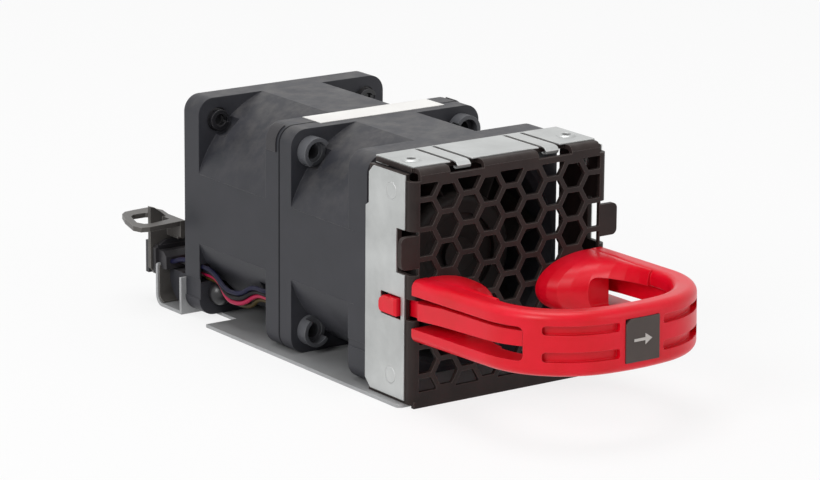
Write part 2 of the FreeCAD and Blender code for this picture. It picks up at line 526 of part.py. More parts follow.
# the connector plate's foot enters between them
tail = tail.cut(box(-8.5, 13.0, TAIL_Y1 - 2.4, TAIL_Y1 + 1, TRAY_TOP, 0))
tail = tail.makeFillet(0.45, edges_along(tail, "y", lambda p: p.z > TAIL_TOP - 0.1))
apron = plate_z([(-8.0, 75.5), (12.5, 75.5), (12.5, 86.0), (10.5, 88.0), (-6.0, 88.0), (-8.0, 86.0)],
                TRAY_BOT, TRAY_TOP)
bits = [floor, tail, apron]
TAB_TOP = TRAY_TOP + 7.45  # z of the tops of the tabs that hold the fans
EAR_TOP = TRAY_TOP + 6.85  # z of the tops of the ears inside the cage
for sx in (-1, 1):
    for y in (TAB_F, TAB_B):
        reach = HP + 3.3 if y < MID_Y else TAIL_X
        t = box(*sorted((sx * (HP - 3.1), sx * reach)), y, y + TAB_T, TRAY_TOP - 0.3, TAB_TOP)
        t = t.makeFillet(1.5, edges_along(t, "y", lambda p: p.z > TAB_TOP - 0.1))
        if y > MID_Y:
            t = t.cut(box(*sorted((sx * -SLOT_X1, sx * (TAIL_X + 1))), y - 1, y + 2, SLOT_Z0, TAB_TOP + 1))
        bits.append(t.cut(rod_y(sx * HP, -HP, 2.1, y - 1, y + 2)))
    ear = box(*sorted((sx * (CW - SHEET), sx * (CW - SHEET - TRAY_T))), 2.6, 10.4, TRAY_BOT + 0.2, EAR_TOP)
    ear = ear.makeFillet(1.2, edges_along(ear, "x", lambda p: p.z > EAR_TOP - 0.1))
    bits.append(ear.cut(rod_x(*rivet_at_side[0], RIV_R, -CW - 2, CW + 2)))
tray = join(bits)
tray = tray.cut(Part.makeCompound([countersunk(x) for x in FOOT_X]))
# openings for air and for the lanced tabs
tray = tray.cut(Part.makeCompound([box(sx * 16.1 - 2.6, sx * 16.1 + 2.6, 8.6, TAB_F - 0.6, TRAY_BOT - 1, TRAY_TOP + 1)
                                   for sx in (-1, 1)]))
NODES["base_tray"] = tray

# rivets of the spring plates; the lower side ones also hold the tray's ears
riv = []
for x, y in rivet_at_top:
    r = join([rod_z(x, y, EYE_R, CAGE_TOP - SHEET - 0.4, CAGE_TOP + LEAF),
              Part.makeCone(1.8, 1.4, 0.25, V(x, y, CAGE_TOP + LEAF), V(0, 0, 1)),
              rod_z(x, y, 1.6, CAGE_TOP - SHEET - 0.4, CAGE_TOP - SHEET)])
    riv.append(r.cut(rod_z(x, y, EYE_R - 0.3, CAGE_TOP - 2, ABOVE)))
for sx in (-1, 1):
    for y, z in rivet_at_side:
        inside = CW - SHEET - (TRAY_T if z < 0 else 0)
        a = Part.makeCylinder(RIV_R, CW - inside + 0.4, V(sx * (inside - 0.4), y, z), V(sx, 0, 0))
        b = sunk(sx, y, z)
        c = Part.makeCylinder(1.4, 0.4, V(sx * (inside - 0.4), y, z), V(sx, 0, 0))
        riv.append(join([a, b, c]))
NODES["plate_rivets"] = Part.makeCompound(riv)

# connector plate with the loop tab, behind the tail
PY = 81.0
cp = [(-21.3, -14.0), (-20.3, -15.2), (-8.0, -15.2), (-8.0, TRAY_TOP), (11.5, TRAY_TOP), (11.5, -9.0),
      (9.5, -7.0), (-14.0, -6.8), (-17.0, -6.2), (-17.5, -5.3), (-18.1, -4.5), (-19.2, -3.6),
      (-20.3, -2.8), (-21.3, -2.5)]
conn_plate = plate_y(cp, PY, PY + SHEET)
conn_plate = conn_plate.cut(box(-20.4, -11.6, PY - 1, PY + 2, -14.2, -9.7))
foot = box(-7.5, 11.5, PY, 87.2, TRAY_TOP, TRAY_TOP + SHEET)
LOOP_Z = -5.5
outer = [(-18.45, 76.0), (-24.8, 75.4), (-26.4, 75.9), (-26.95, 77.7), (-25.5, 82.9), (-24.0, 86.4),
         (-22.7, 87.6), (-20.8, 87.9), (-17.2, 88.2), (-16.2, 85.0), (-17.0, 81.4), (-16.9, 76.4)]
inner = [(-18.9, 84.2), (-20.0, 84.9), (-22.6, 84.9), (-23.6, 84.0), (-25.0, 79.6), (-24.4, 78.0),
         (-23.0, 77.6), (-18.6, 78.6)]
loop = plate_z(outer, LOOP_Z, LOOP_Z + 0.9).cut(plate_z(inner, LOOP_Z - 1, LOOP_Z + 2))
leg = box(-17.9, -16.9, 76.1, 78.4, -7.9, LOOP_Z + 0.9)
leg = leg.makeFillet(0.45, edges_along(leg, "y", lambda p: p.z < -7))
bridge = box(-17.7, -14.4, 79.6, PY + SHEET, -8.2, -7.2)
gusset = box(-17.7, -16.9, 77.4, PY + SHEET, -8.2, LOOP_Z + 0.9)
conn_plate = join([conn_plate, foot, loop, leg, gusset, bridge])
conn_plate = conn_plate.cut(Part.makeCompound([rod_z(x, FOOT_Y, FOOT_R, TRAY_BOT - 1, TRAY_TOP + 2) for x in FOOT_X]))
NODES["connector_plate"] = conn_plate
feet_rivets = []
for x in FOOT_X:
    head = Part.makeCone(2.2, 1.5, 0.6, V(x, FOOT_Y, TRAY_TOP + SHEET), V(0, 0, 1))
    feet_rivets.append(join([rod_z(x, FOOT_Y, FOOT_R, TRAY_TOP, TRAY_TOP + SHEET), countersunk(x), head]))
NODES["plate_foot_rivets"] = Part.makeCompound(feet_rivets)

# connector: body through the plate, lead side to the front, mating side to the rear
PIN_X = [-13.8, -15.5, -17.2, -18.9]
LEAD_END = 80.7
CONN_Y0 = 80.0            # y of the end where the leads enter
CONN_END = 83.3          # y of the mating end of the housing
cb = box(-20.4, -11.6, CONN_Y0, CONN_END, -14.2, -9.7)
cap = Part.makeLoft([Part.makePolygon([V(-20.9, CONN_Y0, -10.2), V(-11.1, CONN_Y0, -10.2), V(-11.1, 80.9, -10.2),
                                       V(-20.9, 80.9, -10.2), V(-20.9, CONN_Y0, -10.2)]),
                     Part.makePolygon([V(-18.4, CONN_Y0 + 0.3, -8.9), V(-12.6, CONN_Y0 + 0.3, -8.9), V(-12.6, 80.9, -8.9),
                                       V(-18.4, 80.9, -8.9), V(-18.4, CONN_Y0 + 0.3, -8.9)])], True, True)
flange = box(-21.2, -10.8, PY + SHEET, PY + SHEET + 1.0, -15.0, -9.0)
conn = join([cb, cap, flange, box(-20.9, -11.1, CONN_Y0, 80.9, -14.5, -10.2)])
conn = conn.cut(box(-19.9, -12.5, 78.0, LEAD_END, -14.05, -11.1)).cut(box(-19.6, -12.4, 81.4, 89, -13.6, -10.4))
conn = conn.cut(Part.makeCompound([box(x - 0.35, x + 0.35, 79, 84, -12.8, -11.9) for x in PIN_X]))
NODES["connector_body"] = conn
NODES["connector_contacts"] = Part.makeCompound(
    [box(x - 0.32, x + 0.32, LEAD_END, CONN_END - 0.4, -12.75, -12.05) for x in PIN_X])


def lead(path, r=LEAD_R):
    """round wire along straight runs joined by tangent arcs"""
    pts = [V(*p) for p in path]
    edges, start = [], pts[0]
    for i in range(1, len(pts) - 1):
        a, b = pts[i - 1] - pts[i], pts[i + 1] - pts[i]
        la, lb = a.Length, b.Length
        a.normalize()
        b.normalize()
        half = (math.pi - a.getAngle(b)) / 2
        rad = 0.45 * min(la, lb) / math.tan(half)
        rad = min(rad, 9.0)
        cut = rad * math.tan(half)
        p0, p1 = pts[i] + a * cut, pts[i] + b * cut
        m = a + b
        m.normalize()
        centre = pts[i] + m * (rad / math.cos(half))
        mid = centre - m * rad
        if (p0 - start).Length > 1e-5:
            edges.append(Part.makeLine(start, p0))
        edges.append(Part.Arc(p0, mid, p1).toShape())
        start = p1
        print("lead bend radius", round(rad, 2), "=", round(rad / (2 * r), 1), "diameters")
    edges.append(Part.makeLine(start, pts[-1]))
    wire = Part.Wire(edges)
    t = pts[1] - pts[0]
    ring = Part.Wire([Part.makeCircle(r, pts[0], t)])
    s = wire.makePipeShell([ring], True, False)
    print("lead volume ratio", round(s.Volume / (math.pi * r * r * wire.Length), 4))
    return s


# each lead lies on the rear board, leaves the frame in a flat row, sags under the barrel,
# comes up again through the slot of the rearmost flange and fans out to its contact
SAG = {"yellow": (0.55, -2.65, 0.5, -3.0), "red": (-0.66, -2.62, -0.82, -2.99),
       "black": (-0.47, -2.44, -0.56, -2.79), "blue": (-0.16, -2.23, -0.23, -2.56)}
lead_y = MID_Y + BOARD_S + BOARD_T + LEAD_R + 0.04
for k, colour in enumerate(SAG):
    x, z = lead_spot(k)
    xa, za, xb, zb = [c + d for c, d in zip((x, z, x, z), SAG[colour])]
    sx, sz = lead_spot(k, BOARD_R - 1.4)
    path = [(sx, lead_y, sz), (x, lead_y, z), (x, 50.3, z), (xa, 53.9, za), (xb, 58.6, zb), (x, 62.9, z),
            (x, 73.4, z), (PIN_X[k], 77.3, -12.4), (PIN_X[k], LEAD_END, -12.4)]
    NODES["lead_" + colour] = lead(path)

# handle: bar and arms from one plan outline, feet, gaps for the latch strips
ZC = (GRIP_TOP + GRIP_BOTTOM) / 2
SCREW_R = 1.0


ARM = V(-0.6, -24.0, 0)
ARM.normalize()
OUT = V(-ARM.y, ARM.x, 0)               # outward normal of the right arm
BOW_C = V(0, GRIP_Y + BOW_R, 0)


def corner_centre():
    """centre of the arc that touches the arm's outside and the bow from within"""
    t0, t1 = 0.0, 40.0
    for _ in range(60):
        t = (t0 + t1) / 2
        c = V(ARM_X, 0, 0) + ARM * t - OUT * CORNER_R
        if (c - BOW_C).Length < BOW_R - CORNER_R:
            t0 = t
        else:
            t1 = t
    return c


CORNER_C = corner_centre()


def bar_edges(off, z, y_end=1.0):
    """one side of the bar's plan outline, a distance off inside the outer one"""
    r = CORNER_R - off
    d = CORNER_C - BOW_C
    d.normalize()
    m = OUT + d
    m.normalize()
    B, M, C = CORNER_C + OUT * r, CORNER_C + m * r, CORNER_C + d * r
    A = B - ARM * ((y_end - B.y) / -ARM.y)
    T = BOW_C + V(0, -1, 0) * (BOW_R - off)

    def at(p, sx=1):
        return V(sx * p.x, p.y, z)
    return at(A), [Part.makeLine(at(A), at(B)), Part.Arc(at(B), at(M), at(C)).toShape(),
                   Part.Arc(at(C), at(T), at(C, -1)).toShape(), Part.Arc(at(C, -1), at(M, -1), at(B, -1)).toShape(),
                   Part.makeLine(at(B, -1), at(A, -1))]


def bar_solid(o0, o1, z0, z1):
    a, e0 = bar_edges(o0, z0)
    b, e1 = bar_edges(o1, z0)
    ends = [Part.makeLine(a, b), Part.makeLine(V(-a.x, a.y, z0), V(-b.x, b.y, z0))]
    return Part.Face(Part.Wire(Part.__sortEdges__(e0 + e1 + ends))).extrude(V(0, 0, z1 - z0))


bar = bar_solid(0.0, GRIP_T, GRIP_BOTTOM, GRIP_TOP)
long_edges = [e for e in bar.Edges if e.BoundBox.ZLength < 1e-6 and e.BoundBox.YLength > 0.5]
bar = bar.makeFillet(1.4, long_edges)
# a foot is a row of ellipses along y; for each its y and half width
FOOT_MID = 16.0
foot_rows = [(1.0, 10.7), (-1.0, 10.7), (-2.6, 10.4), (-4.4, 9.5), (-6.0, 7.9), (-7.8, 5.6), (-10.2, 3.6),
             (-13.0, 2.2), (-16.0, 1.3), (-18.5, 1.0)]
feet = []
for sx in (1, -1):
    rings = []
    for y, a in foot_rows:
        b = (GRIP_TOP - GRIP_BOTTOM) / 2 - 0.05
        big, main = (a, V(1, 0, 0)) if a > b else (b, V(0, 0, 1))
        ell = Part.Ellipse(V(sx * FOOT_MID, y, ZC) + main * big,
                           V(sx * FOOT_MID, y, ZC) + (V(0, 0, b) if a > b else V(a, 0, 0)), V(sx * FOOT_MID, y, ZC))
        rings.append(Part.Wire([ell.toShape()]))
    lobe = Part.makeLoft(rings, True, True)
    feet.append(lobe.common(box(*sorted((sx * 2, sx * (FOOT_MID + 1.0))), -18, 1, -20, 20)))
grip = join([bar] + feet)
SLOT_OPEN = -7.9        # y from which the strip's gap is open to the finger loop
cuts = []
for sx in (-1, 1):
    lo, hi = STRIP_Z0 - SLOT_LOW, STRIP_Z1 + SLOT_HIGH
    cuts.append(box(*sorted((sx * 14.9, sx * (CW + 2))), SLOT_OPEN - 0.5, 3, lo, hi))
    # from here to its root the gap goes right through the foot and the arm
    slot = box(*sorted((sx * 9.0, sx * (CW + 2))), STRIP_ROOT, SLOT_OPEN, lo, hi)
    cuts.append(slot.makeFillet(0.9, edges_along(slot, "x", lambda p: True)))
groove = bar_solid(-1.0, 1.0, GRIP_BOTTOM, GRIP_TOP)
for x0, x1 in ((-16.0, -4.4), (4.5, 16.2)):
    for z0, z1 in ((-1.95, -0.4), (-6.45, -4.75)):
        g = box(x0, x1, GRIP_Y - 2, -25.0, z0, z1)
        g = g.makeFillet(0.55, edges_along(g, "y", lambda p: True))
        cuts.append(groove.common(g))
cuts.append(box(-3.45, 3.45, GRIP_Y - 1, GRIP_Y + 0.75, -7.45, -0.05))
grip = grip.cut(Part.makeCompound(cuts))
badge = box(-3.4, 3.4, GRIP_Y - 0.12, GRIP_Y + 0.75, -7.4, -0.1)
badge = badge.makeChamfer(0.9, edges_along(badge, "y", lambda p: p.x < 0 and p.z > -4))


def strip(sx):
    """latch strip with its hook; it lies in the gap of one arm and ends in the cage"""
    out, back = CW - 1.15, CW - 2.75
    pts = [(CW - 0.35, -1.6), (CW - 0.35, -1.1), (out, -0.3), (out, 3.2), (CW + 0.95, 3.2), (CW + 1.15, 3.8),
           (CW + 0.95, 4.6), (out, 8.3), (back, 8.3), (back, -1.6)]
    end = plate_z([(sx * x, y) for x, y in pts], STRIP_Z0, STRIP_Z1)
    end = end.makeFillet(0.3, edges_along(end, "z", lambda p: p.y > 3 and abs(p.x) > CW + 0.5))
    ring = bar_solid(0.3, 2.7, GRIP_BOTTOM, GRIP_TOP)
    view = [(STRIP_ROOT + 0.3, STRIP_Z1 + STRIP_UP), (-8.0, STRIP_Z1 + STRIP_UP), (-1.4, STRIP_Z1), (-1.4, STRIP_Z0),
            (-8.0, STRIP_Z0 + 0.35), (STRIP_ROOT + 0.3, STRIP_Z0 + 0.85)]
    return join([ring.common(plate_x(view, *sorted((sx * 12.0, sx * (CW + 2))))), end])


left, right = strip(-1), strip(1)
for shape in (grip, badge, left, right):
    shape.rotate(V(0, 0, ZC), V(1, 0, 0), -GRIP_RISE)
grip = grip.cut(box(-30, 30, 0, 10, -30, 30))
NODES["handle"] = grip.cut(Part.makeCompound([rod_y(x, z, SCREW_R, -6.2, 2) for x, z in SCREWS]))
NODES["badge"] = badge
NODES["left_latch_strip"] = left
NODES["right_latch_strip"] = right
screws = []
for x, z in SCREWS:
    s = join([rod_y(x, z, SCREW_R, -6.0, SHEET), Part.makeCone(2.1, 1.7, 1.4, V(x, SHEET, z), V(0, 1, 0))])
    s = s.cut(box(x - 1.0, x + 1.0, SHEET + 0.8, SHEET + 2, z - 0.22, z + 0.22))
    s = s.cut(box(x - 0.22, x + 0.22, SHEET + 0.8, SHEET + 2, z - 1.0, z + 1.0))
    screws.append(s)
NODES["handle_screws"] = Part.makeCompound(screws)

os.makedirs("parts", exist_ok=True)
for name, shape in NODES.items():
    shape.exportStep("parts/" + name + ".step")
    print(name, "solids", len(shape.Solids), "valid", shape.isValid(), "volume", round(shape.Volume, 2))
print(len(NODES), "parts")
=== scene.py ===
import json
import math

import bmesh
import bpy
from mathutils import Matrix, Vector


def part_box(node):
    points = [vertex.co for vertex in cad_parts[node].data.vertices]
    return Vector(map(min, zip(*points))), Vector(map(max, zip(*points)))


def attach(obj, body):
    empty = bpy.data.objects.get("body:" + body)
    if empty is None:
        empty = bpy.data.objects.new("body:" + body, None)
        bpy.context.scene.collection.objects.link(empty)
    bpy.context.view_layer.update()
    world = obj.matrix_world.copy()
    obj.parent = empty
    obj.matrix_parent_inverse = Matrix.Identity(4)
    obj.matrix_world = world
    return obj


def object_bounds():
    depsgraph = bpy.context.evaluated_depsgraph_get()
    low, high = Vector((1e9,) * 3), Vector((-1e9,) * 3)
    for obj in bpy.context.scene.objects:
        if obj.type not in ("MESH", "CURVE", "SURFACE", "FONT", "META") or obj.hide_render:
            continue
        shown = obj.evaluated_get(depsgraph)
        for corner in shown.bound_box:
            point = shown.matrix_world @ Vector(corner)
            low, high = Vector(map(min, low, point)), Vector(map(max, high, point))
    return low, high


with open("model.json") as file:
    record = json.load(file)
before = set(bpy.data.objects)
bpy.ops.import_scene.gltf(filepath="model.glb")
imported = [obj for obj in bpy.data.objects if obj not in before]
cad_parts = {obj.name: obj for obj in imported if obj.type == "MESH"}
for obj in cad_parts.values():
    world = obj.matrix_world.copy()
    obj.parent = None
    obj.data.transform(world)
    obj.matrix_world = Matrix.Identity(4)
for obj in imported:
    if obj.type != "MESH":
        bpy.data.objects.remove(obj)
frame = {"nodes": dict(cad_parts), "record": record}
nodes = frame["nodes"]
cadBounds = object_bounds()
scene = bpy.context.scene
mm = 0.001


def srgb(red, green, blue):
    # a screen colour from 0 to 255 as the linear colour that a shader takes
    def linear(level):
        level = level / 255
        return level / 12.92 if level <= 0.04045 else ((level + 0.055) / 1.055) ** 2.4

    return (linear(red), linear(green), linear(blue), 1.0)


# Camera at the photograph's viewing angle
cameraValues = {
    "place": (-0.38228, -0.50853, 0.17079),
    "yaw": 35.405,
    "pitchDown": 14.561,
    "roll": 0.442,
    "focalPixels": 3908.0,
    "imageWidth": 820.0,
    "sensor": 36.0,
    "nearest": 0.01,
    "farthest": 20.0,
}


def makeCamera(values):
    data = bpy.data.cameras.new("photoCamera")
    data.sensor_width = values["sensor"]
    data.lens = values["focalPixels"] / values["imageWidth"] * values["sensor"]
    data.clip_start = values["nearest"]
    data.clip_end = values["farthest"]
    camera = bpy.data.objects.new("photoCamera", data)
    turn = Matrix.Rotation(math.radians(-values["yaw"]), 4, "Z")
    tilt = Matrix.Rotation(math.radians(90 - values["pitchDown"]), 4, "X")
    roll = Matrix.Rotation(math.radians(values["roll"]), 4, "Z")
    camera.matrix_world = Matrix.Translation(values["place"]) @ turn @ tilt @ roll
    scene.collection.objects.link(camera)
    scene.camera = camera


makeCamera(cameraValues)
print("camera in place")


# What the node trees of the studio and of the finishes share
def feed(tree, socket, source):
    # links another node's output, or sets a value
    if isinstance(source, bpy.types.NodeSocket):
        tree.links.new(source, socket)
    else:
        socket.default_value = source


def addMath(tree, operation, first, second):
    node = tree.nodes.new("ShaderNodeMath")
    node.operation = operation
    feed(tree, node.inputs[0], first)
    feed(tree, node.inputs[1], second)
    return node.outputs[0]


def addRange(tree, source, low, high, toLow, toHigh):
    node = tree.nodes.new("ShaderNodeMapRange")
    for label, value in (("Value", source), ("From Min", low), ("From Max", high),
                         ("To Min", toLow), ("To Max", toHigh)):
        feed(tree, node.inputs[label], value)
    return node.outputs[0]


def addNoise(tree, place, scale, detail, roughness):
    node = tree.nodes.new("ShaderNodeTexNoise")
    for label, value in (("Vector", place), ("Scale", scale), ("Detail", detail), ("Roughness", roughness)):
        feed(tree, node.inputs[label], value)
    return node.outputs["Fac"]


# White floor and surroundings that stay white to the camera and in reflections
studioValues = {
    "floorHalf": 4.0,
    "floorGlow": 0.80,
    "floorColour": (0.86, 0.86, 0.86, 1.0),
    "worldLight": 0.42,
    "keyPower": 5.2,
    "keyPlace": (-0.95, -0.25, 0.60),
    "keySize": 0.50,
    "topPower": 4.6,
    "topPlace": (-0.05, 0.10, 1.00),
    "topSize": 0.60,
    "frontPower": 1.5,
    "frontPlace": (0.45, -1.00, 0.35),
    "frontSize": 0.60,
    "aim": (0.0, 0.03, 0.0),
}


def seenDirectly(tree):
    # 1 for camera, mirror and glass rays, 0 for the rays that only carry light
    path = tree.nodes.new("ShaderNodeLightPath").outputs
    either = addMath(tree, "MAXIMUM", path["Is Camera Ray"], path["Is Glossy Ray"])
    return addMath(tree, "MAXIMUM", either, path["Is Transmission Ray"])


def makeFloor(values, height):
    half = values["floorHalf"]
    mesh = bpy.data.meshes.new("studioFloor")
    corners = [(-half, -half, height), (half, -half, height), (half, half, height), (-half, half, height)]
    mesh.from_pydata(corners, [], [(0, 1, 2, 3)])
    floor = bpy.data.objects.new("studioFloor", mesh)
    scene.collection.objects.link(floor)
    material = bpy.data.materials.new("paleFloor")
    material.use_nodes = True
    tree = material.node_tree
    tree.nodes.remove(tree.nodes["Principled BSDF"])
    diffuse = tree.nodes.new("ShaderNodeBsdfDiffuse")
    diffuse.inputs["Color"].default_value = values["floorColour"]
    glow = tree.nodes.new("ShaderNodeEmission")
    glow.inputs["Strength"].default_value = 1.0
    share = addMath(tree, "MULTIPLY", seenDirectly(tree), values["floorGlow"])
    mix = tree.nodes.new("ShaderNodeMixShader")
    tree.links.new(share, mix.inputs["Fac"])
    tree.links.new(diffuse.outputs[0], mix.inputs[1])
    tree.links.new(glow.outputs[0], mix.inputs[2])
    tree.links.new(mix.outputs[0], tree.nodes["Material Output"].inputs["Surface"])
    mesh.materials.append(material)


def makeWorld(values):
    world = bpy.data.worlds.new("whiteRoom")
    world.use_nodes = True
    tree = world.node_tree
    background = tree.nodes["Background"]
    background.inputs["Color"].default_value = (1.0, 1.0, 1.0, 1.0)
    level = addRange(tree, seenDirectly(tree), 0.0, 1.0, values["worldLight"], 1.0)
    tree.links.new(level, background.inputs["Strength"])
    scene.world = world


def makeLamp(name, place, size, power, aim):
    data = bpy.data.lights.new(name, "AREA")
    data.shape = "SQUARE"
    data.size = size
    data.energy = power
    lamp = bpy.data.objects.new(name, data)
    lamp.location = place
    lamp.rotation_euler = (Vector(aim) - Vector(place)).to_track_quat("-Z", "Y").to_euler()
    scene.collection.objects.link(lamp)


makeFloor(studioValues, cadBounds[0][2])
makeWorld(studioValues)
for light in ("key", "top", "front"):
    makeLamp(light + "Lamp", studioValues[light + "Place"], studioValues[light + "Size"],
             studioValues[light + "Power"], studioValues["aim"])
scene.view_settings.view_transform = "Standard"
print("studio in place")


# Shared surface effects, each a node group with its own inputs
def newGroup(name, inputs, outputs):
    group = bpy.data.node_groups.new(name, "ShaderNodeTree")
    for label, kind, value in inputs:
        socket = group.interface.new_socket(name=label, in_out="INPUT", socket_type=kind)
        socket.default_value = value
    for label, kind in outputs:
        group.interface.new_socket(name=label, in_out="OUTPUT", socket_type=kind)
    start = group.nodes.new("NodeGroupInput")
    end = group.nodes.new("NodeGroupOutput")
    return group, start, end


def objectPlace(tree):
    return tree.nodes.new("ShaderNodeTexCoord").outputs["Object"]


# Detail and roughness of each noise, and the levels between which each mask rises
effectValues = {
    "grainNoise": (3.0, 0.55),
    "grainCloud": (4.0, 0.60),
    "sheetLines": (2.0, 0.5),
    "sheetCloud": (5.0, 0.62),
    "wearPatches": (3.0, 0.6),
    "dustPatches": (5.0, 0.65),
    "toneLevels": (0.30, 0.70),
    "edgeLevels": (0.985, 0.80),  # cosines between the face and its rounded edge
    "patchLevels": (0.35, 0.62),
    "upLevels": (0.2, 0.95),
    "speckleLevels": (0.42, 0.72),
    "bevelSamples": 6,
}


def fineGrainGroup():
    # moulded or cast texture: a fine height and a slow change of tone
    group, start, end = newGroup(
        "fineGrain",
        [("Grain per metre", "NodeSocketFloat", 5000.0), ("Cloud per metre", "NodeSocketFloat", 120.0)],
        [("Height", "NodeSocketFloat"), ("Tone", "NodeSocketFloat")])
    place = objectPlace(group)
    fine = addNoise(group, place, start.outputs["Grain per metre"], *effectValues["grainNoise"])
    cloud = addNoise(group, place, start.outputs["Cloud per metre"], *effectValues["grainCloud"])
    group.links.new(fine, end.inputs["Height"])
    tone = addRange(group, cloud, *effectValues["toneLevels"], 0.0, 1.0)
    group.links.new(tone, end.inputs["Tone"])
    return group


def rolledSheetGroup():
    # fine lines of rolled sheet along the module's length, with a slow change of tone
    group, start, end = newGroup(
        "rolledSheet",
        [("Lines per metre", "NodeSocketFloat", 9000.0), ("Cloud per metre", "NodeSocketFloat", 90.0),
         ("Stretch", "NodeSocketFloat", 0.03)],
        [("Height", "NodeSocketFloat"), ("Tone", "NodeSocketFloat")])
    place = objectPlace(group)
    split = group.nodes.new("ShaderNodeSeparateXYZ")
    group.links.new(place, split.inputs[0])
    drawn = group.nodes.new("ShaderNodeCombineXYZ")
    group.links.new(split.outputs["X"], drawn.inputs["X"])
    along = addMath(group, "MULTIPLY", split.outputs["Y"], start.outputs["Stretch"])
    group.links.new(along, drawn.inputs["Y"])
    group.links.new(split.outputs["Z"], drawn.inputs["Z"])
    lines = addNoise(group, drawn.outputs[0], start.outputs["Lines per metre"], *effectValues["sheetLines"])
    cloud = addNoise(group, place, start.outputs["Cloud per metre"], *effectValues["sheetCloud"])
    group.links.new(lines, end.inputs["Height"])
    tone = addRange(group, cloud, *effectValues["toneLevels"], 0.0, 1.0)
    group.links.new(tone, end.inputs["Tone"])
    return group


def edgeWearAndSheenGroup():
    # a mask for rubbed edges, which also carries painted highlight where a finish gives its edges a light
    # colour, and a normal that rounds them
    group, start, end = newGroup(
        "edgeWearAndSheen",
        [("Radius", "NodeSocketFloat", 0.00025), ("Patches per metre", "NodeSocketFloat", 900.0),
         ("Evenness", "NodeSocketFloat", 0.5)],
        [("Mask", "NodeSocketFloat"), ("Normal", "NodeSocketVector")])
    bevel = group.nodes.new("ShaderNodeBevel")
    bevel.samples = effectValues["bevelSamples"]
    group.links.new(start.outputs["Radius"], bevel.inputs["Radius"])
    flat = group.nodes.new("ShaderNodeNewGeometry")
    compare = group.nodes.new("ShaderNodeVectorMath")
    compare.operation = "DOT_PRODUCT"
    group.links.new(bevel.outputs[0], compare.inputs[0])
    group.links.new(flat.outputs["Normal"], compare.inputs[1])
    edge = addRange(group, compare.outputs["Value"], *effectValues["edgeLevels"], 0.0, 1.0)
    patches = addNoise(group, objectPlace(group), start.outputs["Patches per metre"],
                       *effectValues["wearPatches"])
    spread = addRange(group, patches, *effectValues["patchLevels"], start.outputs["Evenness"], 1.0)
    group.links.new(addMath(group, "MULTIPLY", edge, spread), end.inputs["Mask"])
    group.links.new(bevel.outputs[0], end.inputs["Normal"])
    return group


def dustGroup():
    # fine dust on faces that look up
    group, start, end = newGroup(
        "settledDust",
        [("Patches per metre", "NodeSocketFloat", 300.0), ("Amount", "NodeSocketFloat", 0.3)],
        [("Mask", "NodeSocketFloat")])
    split = group.nodes.new("ShaderNodeSeparateXYZ")
    group.links.new(group.nodes.new("ShaderNodeNewGeometry").outputs["Normal"], split.inputs[0])
    up = addRange(group, split.outputs["Z"], *effectValues["upLevels"], 0.0, 1.0)
    patches = addNoise(group, objectPlace(group), start.outputs["Patches per metre"],
                       *effectValues["dustPatches"])
    speckle = addRange(group, patches, *effectValues["speckleLevels"], 0.0, 1.0)
    cover = addMath(group, "MULTIPLY", up, speckle)
    group.links.new(addMath(group, "MULTIPLY", cover, start.outputs["Amount"]), end.inputs["Mask"])
    return group


effects = {
    "grain": fineGrainGroup(),
    "sheet": rolledSheetGroup(),
    "wear": edgeWearAndSheenGroup(),
    "dust": dustGroup(),
}
print("surface effects ready")


def useEffect(tree, effect, values):
    node = tree.nodes.new("ShaderNodeGroup")
    node.node_tree = effects[effect]
    for label, value in values.items():
        node.inputs[label].default_value = value
    return node


def mixColour(tree, factor, first, second):
    node = tree.nodes.new("ShaderNodeMix")
    node.data_type = "RGBA"
    tree.links.new(factor, node.inputs["Factor"])
    for label, source in (("A", first), ("B", second)):
        feed(tree, [s for s in node.inputs if s.name == label and s.type == "RGBA"][0], source)
    return [s for s in node.outputs if s.type == "RGBA"][0]


# What a finish has where its own values don't say
commonValues = {
    "texture": "grain",
    "metallic": 0.0,
    "specular": 0.35,
    "coat": 0.0,
    "coatRoughness": 0.1,
    "edgeRadius": 0.15 * mm,
    "wearEvenness": 0.5,
    "wearAndSheenAmount": 0.5,
    "dustAmount": 0.1,
    "dustColour": srgb(176, 170, 162),
    "bumpStrength": 0.4,
    "bumpDepth": 0.02 * mm,
}


def makeFinish(name, ownValues):
    # one material: two tones, rubbed edges with painted highlight on some finishes, a little dust, fine
    # surface texture
    values = {**commonValues, **ownValues}
    material = bpy.data.materials.new(name)
    material.use_nodes = True
    tree = material.node_tree
    shader = tree.nodes["Principled BSDF"]
    for label, value in (("Metallic", "metallic"), ("Specular IOR Level", "specular"),
                         ("Coat Weight", "coat"), ("Coat Roughness", "coatRoughness")):
        shader.inputs[label].default_value = values[value]
    surface = useEffect(tree, values["texture"], {})
    wear = useEffect(tree, "wear", {"Radius": values["edgeRadius"], "Evenness": values["wearEvenness"]})
    dust = useEffect(tree, "dust", {"Amount": values["dustAmount"]})
    colour = mixColour(tree, surface.outputs["Tone"], values["darkTone"], values["lightTone"])
    rubbedAndSheen = addMath(tree, "MULTIPLY", wear.outputs["Mask"], values["wearAndSheenAmount"])
    colour = mixColour(tree, rubbedAndSheen, colour, values.get("wornAndSheenColour", values["lightTone"]))
    colour = mixColour(tree, dust.outputs["Mask"], colour, values["dustColour"])
    tree.links.new(colour, shader.inputs["Base Color"])
    rough = addRange(tree, surface.outputs["Tone"], 0.0, 1.0, *values["roughness"])
    tree.links.new(rough, shader.inputs["Roughness"])
    bump = tree.nodes.new("ShaderNodeBump")
    bump.inputs["Strength"].default_value = values["bumpStrength"]
    bump.inputs["Distance"].default_value = values["bumpDepth"]
    tree.links.new(surface.outputs["Height"], bump.inputs["Height"])
    tree.links.new(wear.outputs["Normal"], bump.inputs["Normal"])
    tree.links.new(bump.outputs[0], shader.inputs["Normal"])
    return material


